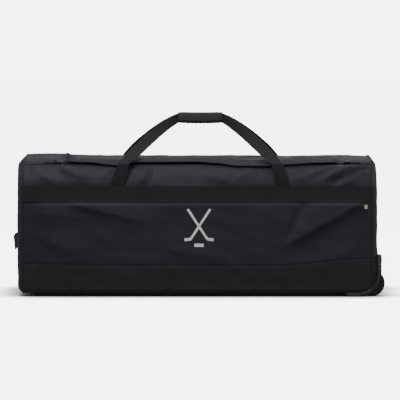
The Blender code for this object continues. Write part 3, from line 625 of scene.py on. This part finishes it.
def lower_panel(side):
    """Duller lower panel with the round corner at the wheel end."""
    sign = -1 if side == "front" else 1
    centre_x, centre_z, radius = corner_round()

    def place(t, x):
        top = seam_line(min(x, X_SEAM))
        bottom_z = BASE_Z
        if x > centre_x:
            bottom_z = centre_z - math.sqrt(max(0.0, radius**2 - (x - centre_x) ** 2))
        s = s_wall(bottom_z) + (top - s_wall(bottom_z)) * t
        if sign > 0:
            s = S_ALL - s
        near = S_ALL - s if sign > 0 else s
        tuck = 1 - smooth(0.0, 0.005, top - near)
        foot = 1 - smooth(0.0, 0.012, near - s_wall(bottom_z))
        past = smooth(X_SEAM - 0.004, LOW_PANEL[1][0], x)
        point = skin(min(x, X_SEAM), s, -0.0012 * tuck - 0.003 * foot**2 - 0.004 * past)
        return point + Vector((max(0, x - X_SEAM), 0, 0)), (x, s)

    columns = spread(-X_SEAM, LOW_PANEL[1][0] - LAP, 250)
    piece = draped(f"{side}_lower_panel_cloth", columns, spread(0.0, 1.0, 26), place, Vector((0, sign, 0)))
    give_wall(piece, CLOTH_T, lined=True)
    finish_piece(piece, [LOWER, LINING], "bag", "lower_fabric", [f"{side}_lower_panel"])
    for k, drop in enumerate((ROW_INSET, 0.0105)):
        points = []
        for x in spread(-X_SEAM + 0.006, X_SEAM - 0.008, 150):
            s = seam_line(x) - drop
            points.append(skin(x, s if sign < 0 else S_ALL - s, 0.0001))
        name = f"{side}_lower_stitches_{k}"
        stitches(name, points, THREAD, "bag", "lower_fabric", lift=Vector((0, sign, 0)))


def corner_round():
    """Centre (x, z) and radius of the bag's round lower corner at the wheel end."""
    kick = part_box("kick_panel")
    radius = kick[1][0] - kick[0][0]
    return kick[0][0], kick[0][2] + radius, radius


def outline_gap(y, z, bottom, open_bottom):
    """Distance in from the edge of the bag's end, at a place on it."""
    side = HALF_D - abs(y)
    if abs(y) > HALF_D - SHOULDER_R and z > SHOULDER_Z:
        corner = Vector((abs(y) - HALF_D + SHOULDER_R, z - SHOULDER_Z))
        gap = SHOULDER_R - corner.length
    else:
        gap = min(side, TOP_Z - z)
    return gap if open_bottom else min(gap, z - bottom)


def end_panel(side, sign, round_in, box):
    """End panel that swells out of its piped seam."""
    bottom = box[0][2]
    depth = abs(box[1][0] - box[0][0])
    us = [math.sin(math.pi / 2 * t) for t in spread(-1, 1, 84)]
    vs = [math.sin(math.pi / 2 * t) for t in spread(0, 1, 60)] if sign > 0 else [
        (1 - math.cos(math.pi * t)) / 2 for t in spread(0, 1, 72)
    ]

    def place(v, u):
        y = u * HALF_D
        top = TOP_Z
        if abs(y) > HALF_D - SHOULDER_R:
            top = SHOULDER_Z + math.sqrt(max(0, SHOULDER_R**2 - (abs(y) - HALF_D + SHOULDER_R) ** 2))
        z = bottom + v * (top - bottom)
        gap = max(0.0, outline_gap(y, z, bottom, sign > 0))
        k = min(1.0, gap / round_in)
        swell = depth * math.sqrt(max(0.0, 1 - (1 - k) ** 2))
        calm = smooth(0.0, 0.03, gap)
        swell += calm * 0.0016 * noise.noise(Vector((y * 9, z * 7, sign * 5.0)))
        swell += calm * 0.0010 * noise.noise(Vector((y * 24 + z * 9, z * 30, sign * 8.0)))
        hollow = 0.0030 * (1 - smooth(0, 0.02, gap))
        inward = (Vector((0, SHOULDER_Z * 0.6)) - Vector((y, z))).normalized() * hollow
        return Vector((sign * (X_SEAM + swell - 0.0008), y + inward.x, z + inward.y)), (y, z)

    piece = draped(f"{side}_end_cloth", us, vs, place, Vector((sign, 0, 0)))
    edit(piece, lambda: bpy.ops.mesh.remove_doubles(threshold=0.00003))
    give_wall(piece, CLOTH_T, lined=True)
    finish_piece(piece, [FABRIC, LINING], "bag", "fabric", [f"{side}_end_panel"])


def end_outline(inset, low, closed):
    """Points round the end of the bag in Y and Z."""
    points = [(-HALF_D + inset, z) for z in spread(low, SHOULDER_Z, 40)[:-1]]
    for angle in spread(0, math.pi / 2, 24):
        radius = SHOULDER_R - inset
        y = -HALF_D + SHOULDER_R - radius * math.cos(angle)
        points.append((y, SHOULDER_Z + radius * math.sin(angle)))
    points += [(y, TOP_Z - inset) for y in spread(-HALF_D + SHOULDER_R, 0, 14)[1:-1]]
    points += [(-y, z) for y, z in reversed(points)]
    if closed:
        points += [(y, low) for y in spread(HALF_D - inset, -HALF_D + inset, 30)[1:-1]]
    return points


def piping():
    """Corded binding sewn into each end seam."""
    for side, sign, low, closed in (
        ("left", -1, LEFT_END[0][2] + 0.001, True),
        ("right", 1, RIGHT_END[0][2], False),
    ):
        points = []
        for y, z in end_outline(0.0011, low, closed):
            ripple = 0.0006 * noise.noise(Vector((y * 14, z * 14, sign * 2.0)))
            points.append(Vector((sign * (X_SEAM + 0.0002), y * (1 + ripple), z + ripple)))
        piece = cord_grid(f"{side}_piping_cord", points, 0.0021, closed)
        finish_piece(piece, BINDING, "bag", "binding", [f"{side}_piping"])


TAPE_END = 0.0040  # the lid's side tapes stop this short of the fold it opens on


def top_pieces():
    """Borders beside the opening, zip tapes, lid and storm flap."""
    left_tape, right_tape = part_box("left_zip_tape"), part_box("right_zip_tape")
    hinge, lid_low = S_HINGE - 0.0004, S_ZIP + ZIP_HALF
    lid_x = (left_tape[1][0] + LAP, right_tape[0][0] - LAP)
    borders = {
        "left_top_border": (-X_SEAM, left_tape[0][0] - 0.0002, 40),
        "right_top_border": (right_tape[1][0] + 0.0002, X_SEAM, 30),
    }
    layers = [FABRIC, LINING]
    for node, (low, high, count) in borders.items():
        cloth(f"{node}_cloth", (low, high), S_ZIP, hinge, (count, 84), layers, "bag", "fabric", [node])
    tapes = {
        "front_zip_tape": ((-X_SEAM, X_SEAM), S_ZIP - ZIP_HALF, S_ZIP - 0.0004, "bag", (240, 3)),
        "left_zip_tape": ((left_tape[0][0], left_tape[1][0]), S_ZIP, hinge, "bag", (3, 84)),
        "right_zip_tape": ((right_tape[0][0], right_tape[1][0]), S_ZIP, hinge, "bag", (3, 84)),
        "lid_front_zip_tape": ((lid_x[0], lid_x[1]), S_ZIP + 0.0004, lid_low, "lid", (220, 3)),
        "lid_left_zip_tape": ((lid_x[0], LID[0][0]), lid_low, hinge - TAPE_END, "lid", (3, 80)),
        "lid_right_zip_tape": ((LID[1][0], lid_x[1]), lid_low, hinge - TAPE_END, "lid", (3, 80)),
    }
    for node, (x_range, low, high, body, counts) in tapes.items():
        coil = f"{node}_coil"
        across = counts[0] < counts[1]
        cloth(coil, x_range, low, high, counts, ZIP, body, "zip_tape", [node], 0.0004, 0.0016, across)
    cloth(
        "lid_cloth", (LID[0][0], LID[1][0]), lid_low, hinge - LAP, (220, 84),
        layers, "lid", "fabric", ["lid_panel"],
    )
    storm_flap()


FLAP_EDGE = [
    (-0.370, 57), (-0.300, 54), (-0.227, 46), (-0.160, 55), (0.000, 56),
    (0.050, 52), (0.113, 44), (0.191, 44), (0.260, 49), (0.330, 53), (0.400, 55),
]


FLAP_SEWN_AT = 82


def flap_angle(x, t):
    """Place round the shoulder, from the flap's sewn line at 0 to its free edge at 1."""
    return FLAP_SEWN_AT + (follow(FLAP_EDGE, x) - FLAP_SEWN_AT) * t


def flap_lift(t):
    return 0.0010 + 0.0068 * smooth(0.0, 0.55, t)


def storm_flap():
    """Double-folded flap sewn to the lid that hangs over the zip."""
    xs = spread(FLAP[0][0] + 0.001, FLAP[1][0] - 0.001, 220)

    def place(t, x):
        lift = flap_lift(t) + 0.0012 * t * noise.noise(Vector((x * 22, 2.0, 0.0)))
        ends = smooth(0.0, 0.012, min(x - xs[0], xs[-1] - x))
        lift *= 0.35 + 0.65 * ends
        lift += 0.0190 * math.exp(-(((x - xs[0]) / 0.016) ** 2)) * math.exp(-(((t - 0.38) / 0.26) ** 2))
        s = s_angle(flap_angle(x, t))
        return skin(x, s, lift, 0.25), (x, s)

    piece = draped("storm_flap_cloth", xs, spread(0.0, 1.0, 16), place, outward(s_angle(60)))
    give_wall(piece, 0.0018)
    finish_piece(piece, FABRIC, "lid", "fabric", ["storm_flap"])
    for k, back in enumerate((0.05, 0.42)):
        t = 1 - back
        points = [skin(x, s_angle(flap_angle(x, t)), flap_lift(t) + 0.0003, 0.25) for x in xs[2:-2]]
        stitches(f"storm_flap_stitches_{k}", points, THREAD, "lid", "fabric", lift=outward(s_angle(60)))


# ---- webbing and grip
def bezier(p0, p1, p2, p3, steps):
    for i in range(steps + 1):
        t = i / steps
        u = 1 - t
        yield t, u**3 * p0 + 3 * u * u * t * p1 + 3 * u * t * t * p2 + t**3 * p3


def strap_stations(sign, way):
    """One side of a carry handle: up from the band, over the fold and into the grip."""
    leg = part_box(f"{'front' if sign < 0 else 'rear'}_{'left' if way < 0 else 'right'}_handle_leg")
    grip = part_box("front_grip")
    middle_x = (grip[0][0] + grip[1][0]) / 2
    plane = sign * abs(leg[0][1] + leg[1][1]) / 2
    half_w = STRAP_W / 2
    foot_x = leg[0][0] + half_w if way < 0 else leg[1][0] - half_w
    fold_x = leg[1][0] - half_w if way < 0 else leg[0][0] + half_w
    bend = Vector((fold_x, plane, leg[1][2]))
    entry_x = middle_x + way * ((grip[1][0] - grip[0][0]) / 2 - 0.004)
    entry = Vector((entry_x, sign * 0.004, (grip[0][2] + grip[1][2]) / 2))
    p1 = bend + Vector((-way * 0.038, -sign * 0.041, 0.037))
    p2 = entry + Vector((way * 0.050, sign * 0.050, -0.020))
    stations = []
    for t in spread(0, 1, 8)[:-1]:
        z = leg[0][2] - 0.002 + (leg[1][2] - leg[0][2]) * t
        place = Vector((foot_x + (fold_x - foot_x) * t, plane, z))
        place.y += sign * 0.0010 * math.sin(math.pi * t)
        stations.append((place, ALONG, ACROSS, STRAP_W, STRAP_T))
    points = list(bezier(bend, p1, p2, entry, 22))
    for i, (t, place) in enumerate(points):
        before, after = points[max(i - 1, 0)][1], points[min(i + 1, len(points) - 1)][1]
        tangent = (after - before).normalized()
        across = ALONG.lerp(Vector((0, 0, way)), t**1.2)
        across = (across - tangent * across.dot(tangent) * min(1.0, 3 * t)).normalized()
        normal = tangent.cross(across)
        if normal.dot(stations[-1][2]) < 0:
            normal = -normal
        stations.append((place, across, normal, STRAP_W + (0.0255 - STRAP_W) * t, STRAP_T))
    for reach, y in ((0.034, 0.004), (0.020, 0.0016), (0.001, 0.0016)):
        inside = Vector((middle_x + way * reach, sign * y, entry.z))
        stations.append((inside, Vector((0, 0, way)), ACROSS, 0.0240, STRAP_T))
    for i, (place, across, normal, wide, thick) in enumerate(stations):
        gather = 1 - 0.22 * math.exp(-(((place.z - bend.z - 0.004) / 0.016) ** 2))
        stations[i] = (place, across, normal, wide * gather, thick)
    return stations, bend


def carry_handles():
    for side, sign in (("front", -1), ("rear", 1)):
        for end, way in (("left", -1), ("right", 1)):
            stations, bend = strap_stations(sign, way)
            nodes = [f"{side}_{end}_handle_leg"] + ([f"{side}_handle_strap"] if way < 0 else [])
            piece = strap(f"{side}_{end}_strap", stations, WEBBING, None, "webbing", nodes)
            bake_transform(piece)
        grip_half(side, sign)


def grip_half(side, sign):
    """Half of the padded wrap: a C-shaped pad with a hook-and-loop edge along its foot."""
    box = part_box(f"{side}_grip")
    low_z, high_z = box[0][2], box[1][2]
    middle_z = (low_z + high_z) / 2
    depth = abs(box[1][1] - box[0][1])
    face = sign * depth
    wall = 0.0034
    xs = spread(box[0][0], box[1][0], 40)
    rings = []
    for x in xs:
        edge = min(x - box[0][0], box[1][0] - x)
        puff = 0.0012 * smooth(0.0, 0.016, edge) - 0.0016
        puff += 0.0006 * noise.noise(Vector((x * 40, sign * 3.0, 0.0)))
        droop = -0.0010 * math.sin(math.pi * (x - box[0][0]) / (box[1][0] - box[0][0]))
        outer, inner = [], []
        for k in range(17):
            turn = math.pi * k / 16 - math.pi / 2
            y = max(0.0002, (depth + puff) * max(0.0, math.cos(turn)) ** 0.42)
            reach = (high_z - low_z) / 2 + puff * 0.6
            z = middle_z + reach * math.copysign(abs(math.sin(turn)) ** 0.62, turn)
            outer.append(Vector((x, sign * y, z + droop)))
        for k in range(7):
            turn = math.pi / 2 - math.pi * k / 6
            y = max(0.0002, (depth - wall * 2.6) * max(0.0, math.cos(turn)) ** 0.3)
            reach = (high_z - low_z) / 2 - wall
            z = middle_z + reach * math.copysign(abs(math.sin(turn)) ** 0.4, turn)
            inner.append(Vector((x, sign * y, z + droop)))
        rings.append(outer + inner)
    flat = [[(x, k * 0.003) for k in range(len(ring) + 1)] for x, ring in zip(xs, rings)]
    piece = flat_grid(f"{side}_grip_pad", [ring + ring[:1] for ring in rings], flat)
    close_up(piece)
    for patch in piece.data.polygons:
        hook_strip = sign * patch.normal.y > 0.5 and patch.center.z < low_z + 0.0075
        patch.material_index = 1 if hook_strip else 0
    finish_piece(piece, [GRIP, HOOK_EDGE], f"{side}_handle", "grip_pad", [f"{side}_grip"])
    for k, z in enumerate((low_z + 0.0085, high_z - 0.0040)):
        points = [Vector((x, face * 0.985, z)) for x in spread(box[0][0] + 0.004, box[1][0] - 0.004, 20)]
        stitches(
            f"{side}_grip_stitches_{k}", points, THREAD, f"{side}_handle", "grip_pad",
            0.0042, 0.0028, 0.0004, Vector((0, sign, 0)),
        )


def end_webbing():
    """Pull handle, its anchors and the tab below, on the plain end."""
    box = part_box("end_pull_handle")
    height = box[1][2] - box[0][2]
    half = (box[1][1] - box[0][1]) / 2
    near, far = box[1][0] - 0.0013, box[0][0] + 0.0006
    stations = []
    for t in spread(-1, 1, 36):
        y = t * (half - 0.0010)
        reach = smooth(1.0, 0.62, abs(t))
        x = near + (far - near) * reach
        ahead = (far - near) * (smooth(1.0, 0.62, abs(t + 0.02)) - smooth(1.0, 0.62, abs(t - 0.02)))
        run = Vector((ahead, 0.04 * half, 0)).normalized()
        droop = -0.009 * (1 - t * t)
        across = Vector((-0.10 * reach, 0, 1))
        place = Vector((x, y, (box[0][2] + box[1][2]) / 2 + droop))
        stations.append((place, across, Vector((run.y, -run.x, 0)), height * 0.93, 0.0024))
    strap("end_pull_webbing", stations, WEBBING, "pull_handle", "webbing", ["end_pull_handle"])
    for node in ("front_pull_anchor", "rear_pull_anchor", "lower_end_tab"):
        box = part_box(node)
        middle = centre_of(box)
        size = Vector(box[1]) - Vector(box[0])
        thick = max(0.0016, size.x * 0.95)
        tall = []
        for z in spread(-size.z / 2, size.z / 2, 10):
            place = middle + Vector((0, 0, z))
            tall.append((place, ACROSS, ALONG, size.y, thick))
        strap(f"{node}_webbing", tall, WEBBING, "bag", "webbing", [node])
        corners = [(-1, -1), (1, -1), (1, 1), (-1, 1), (-1, -1), (1, 1)]
        points = []
        for a, b in corners:
            y, z = middle.y + a * size.y * 0.36, middle.z + b * size.z * 0.36
            points.append(Vector((box[0][0] - 0.0001, y, z)))
        stitches(
            f"{node}_stitches", points, THREAD, "bag", "webbing",
            0.0040, 0.0028, 0.0004, Vector((-1, 0, 0)),
        )


# ---- wheels and hard pieces
def turned_piece(name, profile, centre, material, body, slot, nodes):
    """Ring turned about the wheel's axis: a circle extruded and sized along a profile of (along, radius)."""
    start, first = profile[0]
    place = centre + Vector((0, start, 0))
    bpy.ops.object.select_all(action="DESELECT")
    bpy.ops.mesh.primitive_circle_add(vertices=72, radius=first, location=place, rotation=(math.pi / 2, 0, 0))
    piece = bpy.context.object
    piece.name = name
    bpy.ops.object.transform_apply(location=True, rotation=True, scale=True)

    def turn():
        for (at, radius), (next_at, next_radius) in zip(profile, profile[1:] + profile[:1]):
            bpy.ops.mesh.extrude_region_move(TRANSFORM_OT_translate={"value": (0, next_at - at, 0)})
            ratio = next_radius / radius
            middle = centre + Vector((0, next_at, 0))
            bpy.ops.transform.resize(value=(ratio, 1, ratio), center_override=middle)

    edit(piece, turn)
    close_up(piece, CAD_MERGE, capped=False)
    return finish_piece(piece, material, body, slot, nodes)


def wheels():
    for side in ("front", "rear"):
        tyre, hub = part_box(f"{side}_tyre"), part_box(f"{side}_wheel_hub")
        centre = centre_of(tyre)
        radius = (tyre[1][2] - tyre[0][2]) / 2
        half = (tyre[1][1] - tyre[0][1]) / 2
        hub_radius = (hub[1][2] - hub[0][2]) / 2
        tread = [(-half, radius - 0.0050), (-half * 0.90, radius - 0.0022)]
        for k in range(-2, 3):
            at = k * half * 0.34
            crown = radius - 0.0010 * (k / 2.2) ** 2
            tread += [(at - 0.0016, crown), (at + 0.0016, crown)]
            if k < 2:
                tread += [(at + 0.0021, crown - 0.0014), (at + half * 0.34 - 0.0021, crown - 0.0014)]
        tread += [(half * 0.90, radius - 0.0022), (half, radius - 0.0050)]
        wall = [(half, hub_radius + 0.0022), (half - 0.0012, hub_radius + 0.0004)]
        wall += [(-half + 0.0012, hub_radius + 0.0004), (-half, hub_radius + 0.0022)]
        wheel = f"{side}_wheel"
        tyre_name = f"{side}_grooved_tyre"
        turned_piece(tyre_name, tread + wall, centre, RUBBER, wheel, "tyre_rubber", [f"{side}_tyre"])
        bore = 0.0043
        rim = [(-half - 0.001, bore), (-half - 0.001, 0.0078), (-half + 0.0008, 0.0086)]
        rim += [(-half + 0.0036, 0.0100), (-half + 0.0036, hub_radius - 0.0030)]
        rim += [(-half + 0.0012, hub_radius - 0.0018), (-half + 0.0014, hub_radius)]
        rim += [(-at, r) for at, r in reversed(rim)]
        turned_piece(f"{side}_spoked_hub", rim, centre, HUB, wheel, "hub_plastic", [f"{side}_wheel_hub"])
        hub_ribs(side, centre, half, hub_radius)
        refined(f"{side}_axle", STEEL, "bag", "steel", 0.0006)
        refined(f"{side}_wheel_guard", PLASTIC, "bag", "guard_plastic", 0.0014)
        for kind in ("end", "foot"):
            refined(f"{side}_guard_{kind}_rivet", STEEL, "bag", "steel", 0.0004, 25)


def hub_ribs(side, centre, half, hub_radius):
    """Raised ribs on both faces of the hub."""
    length = hub_radius - 0.0115
    for face, word in ((-1, "near"), (1, "far")):
        for k in range(6):
            bpy.ops.object.select_all(action="DESELECT")
            bpy.ops.mesh.primitive_cube_add(size=1)
            rib = bpy.context.object
            rib.name = f"{side}_hub_rib_{word}_{k}"
            stretch = Matrix.Diagonal((0.0022, 0.0016, length, 1))
            place = Matrix.Translation((0, face * (half - 0.0029), (hub_radius + 0.0075) / 2))
            turn = Matrix.Rotation(math.pi / 3 * k + math.pi / 6, 4, "Y")
            rib.data.transform(Matrix.Translation(centre) @ turn @ place @ stretch)
            soften(rib, 0.0004)
            finish_piece(rib, HUB, f"{side}_wheel", "hub_plastic")


def sliders():
    """Zip sliders and their pull tabs, with ribs on each tab."""
    for side, sign in (("left", -1), ("right", 1)):
        refined(f"{side}_slider", LACQUER, f"{side}_slider_body", "slider_metal", 0.0004)
        refined(f"{side}_pull_tab", BINDING, f"{side}_tab_body", "binding", 0.0003)
        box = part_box(f"{side}_pull_tab")
        normal = Vector((0, -math.cos(ZIP_ANGLE), math.sin(ZIP_ANGLE)))
        across = Vector((0, normal.z, -normal.y))
        middle = centre_of(box)
        for k in range(5):
            x = middle.x + sign * (-0.002 + k * 0.0030)
            place = Vector((x, middle.y, middle.z)) + normal * 0.0009
            points = [place + across * a for a in (-0.0030, 0.0, 0.0030)]
            piece = cord_grid(f"{side}_tab_rib_{k}", points, 0.0005)
            finish_piece(piece, BINDING, f"{side}_tab_body", "binding")


def hard_pieces():
    for name in ("front", "middle", "rear"):
        refined(f"{name}_runner", PLASTIC, "bag", "guard_plastic", 0.0012)
    refined("base_panel", BASE, "bag", "lower_fabric", 0.0010)
    refined("kick_panel", BASE, "bag", "lower_fabric", 0.0010)
    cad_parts["base_board"].data.materials.clear()
    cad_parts["base_board"].data.materials.append(PLASTIC)


def side_label():
    """Small plain woven tag caught in the seam under the band."""
    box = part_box("side_label")
    middle = centre_of(box)
    width, tall = box[1][0] - box[0][0], box[1][2] - box[0][2]
    stations = []
    for t in spread(-0.5, 0.5, 8):
        z = middle.z + t * tall
        surface = skin(middle.x, s_wall(z), 0.0010)
        curl = -0.0010 * smooth(0.1, -0.5, t)
        place = Vector((middle.x, surface.y + curl, z))
        stations.append((place, ALONG, ACROSS, width, 0.0008))
    strap("side_label_tag", stations, LABEL, "bag", "label_weave", ["side_label"])


def front_print():
    """Plain white print in the middle of the front: two crossed sticks and a puck."""
    middle_x, top, bottom = 0.0045, 0.243, 0.160
    strokes = {"puck": [(middle_x - 0.013, 0.143, 0.0045), (middle_x + 0.013, 0.143, 0.0045)]}
    for name, way in (("left", -1), ("right", 1)):
        strokes[f"{name}_stick"] = [
            (middle_x - way * 0.031, top, 0.0032),
            (middle_x + way * 0.019, bottom + 0.006, 0.0032),
            (middle_x + way * 0.024, bottom, 0.0040),
            (middle_x + way * 0.040, bottom - 0.002, 0.0042),
        ]
    for k, (name, stroke) in enumerate(strokes.items()):
        rows, flat = [], []
        for side in spread(-1, 1, 4):
            row, flat_row = [], []
            for i in range(len(stroke) - 1):
                (xa, za, wa), (xb, zb, wb) = stroke[i], stroke[i + 1]
                for t in spread(0, 1, 12)[(1 if i else 0):]:
                    run = Vector((xb - xa, zb - za)).normalized()
                    half = wa + (wb - wa) * t
                    x = xa + (xb - xa) * t - run.y * half * side
                    z = za + (zb - za) * t + run.x * half * side
                    row.append(skin(x, s_wall(z), 0.0005 + k * 0.0002))
                    flat_row.append((x, z))
            rows.append(row)
            flat.append(flat_row)
        piece = flat_grid(f"print_{name}", rows, flat, Vector((0, -1, 0)))
        give_wall(piece, 0.0004)
        finish_piece(piece, PRINT, "bag", "label_weave")


# ---- studio
def studio():
    bpy.ops.mesh.primitive_plane_add(size=40, location=(0, 0, 0))
    floor = bpy.context.object
    floor.name = "studio_floor"
    material, tree, shader = new_material("studio_white", (0.45, 0.45, 0.45), 0.85, specular=0.1)
    place = add_node(tree, "ShaderNodeTexCoord").outputs["Object"]
    vary_colour(tree, shader, place, (0.45, 0.45, 0.45), 0.005, 0.5)
    # painted contact shadow: the floor's glow is dimmed by ambient occlusion, so it is darker right under and
    # beside the bag
    painted_contact_shadow = add_node(tree, "ShaderNodeAmbientOcclusion", Distance=0.10)
    darker = compute(tree, "POWER", painted_contact_shadow.outputs["AO"], 4.0)
    tree.links.new(compute(tree, "MULTIPLY", darker, 5.7), shader.inputs["Emission Strength"])
    shader.inputs["Emission Color"].default_value = (1, 1, 1, 1)
    floor.data.materials.append(material)
    floor.visible_diffuse = False
    floor.visible_glossy = False

    world = bpy.data.worlds.new("studio")
    bpy.context.scene.world = world
    world.use_nodes = True
    background = world.node_tree.nodes["Background"]
    background.inputs["Color"].default_value = (1, 1, 1, 1)
    seen = add_node(world.node_tree, "ShaderNodeLightPath").outputs["Is Camera Ray"]
    strength = compute(world.node_tree, "MULTIPLY_ADD", seen, 6.0, 0.12)
    world.node_tree.links.new(strength, background.inputs["Strength"])

    lights = {
        "key_softbox": ((-0.8, -1.7, 2.4), (0, 0, 0.2), 1.3, 43),
        "top_softbox": ((0.4, 0.1, 3.0), (0, 0, 0.2), 2.2, 20),
        "right_softbox": ((2.4, -1.4, 1.4), (0.2, 0, 0.2), 1.2, 16),
        "front_softbox": ((0.3, -4.0, 0.9), (0, 0, 0.15), 2.0, 22),
        "rear_softbox": ((0.5, 2.2, 2.6), (0, 0, 0.15), 1.8, 17),
        "left_softbox": ((-3.2, 0.6, 1.2), (0, 0, 0.15), 1.6, 20),
        "wheel_softbox": ((3.2, 0.6, 1.2), (0, 0, 0.15), 1.6, 20),
    }
    for name, (place, target, size, power) in lights.items():
        data = bpy.data.lights.new(name, "AREA")
        data.size = size
        data.energy = power
        light = bpy.data.objects.new(name, data)
        light.location = place
        light.rotation_euler = (Vector(target) - Vector(place)).to_track_quat("-Z", "Y").to_euler()
        bpy.context.scene.collection.objects.link(light)


def camera():
    """Long lens, square to the front and a little above it."""
    data = bpy.data.cameras.new("camera")
    distance, tilt, view_width = 14.0, math.radians(3.0), 1.105
    target = Vector((0.0073, FRONT_Y, 0.268))
    data.sensor_width = 36
    data.lens = data.sensor_width / 2 / (view_width / 2 / distance)
    data.clip_end = 100
    made = bpy.data.objects.new("camera", data)
    made.location = target + distance * Vector((0, -math.cos(tilt), math.sin(tilt)))
    made.rotation_euler = (math.pi / 2 - tilt, 0, 0)
    bpy.context.scene.collection.objects.link(made)
    bpy.context.scene.camera = made


studio()
camera()
side_panels()
end_panel("left", -1, 0.028, LEFT_END)
end_panel("right", 1, 0.040, RIGHT_END)
piping()
top_pieces()
carry_handles()
end_webbing()
wheels()
sliders()
hard_pieces()
side_label()
front_print()
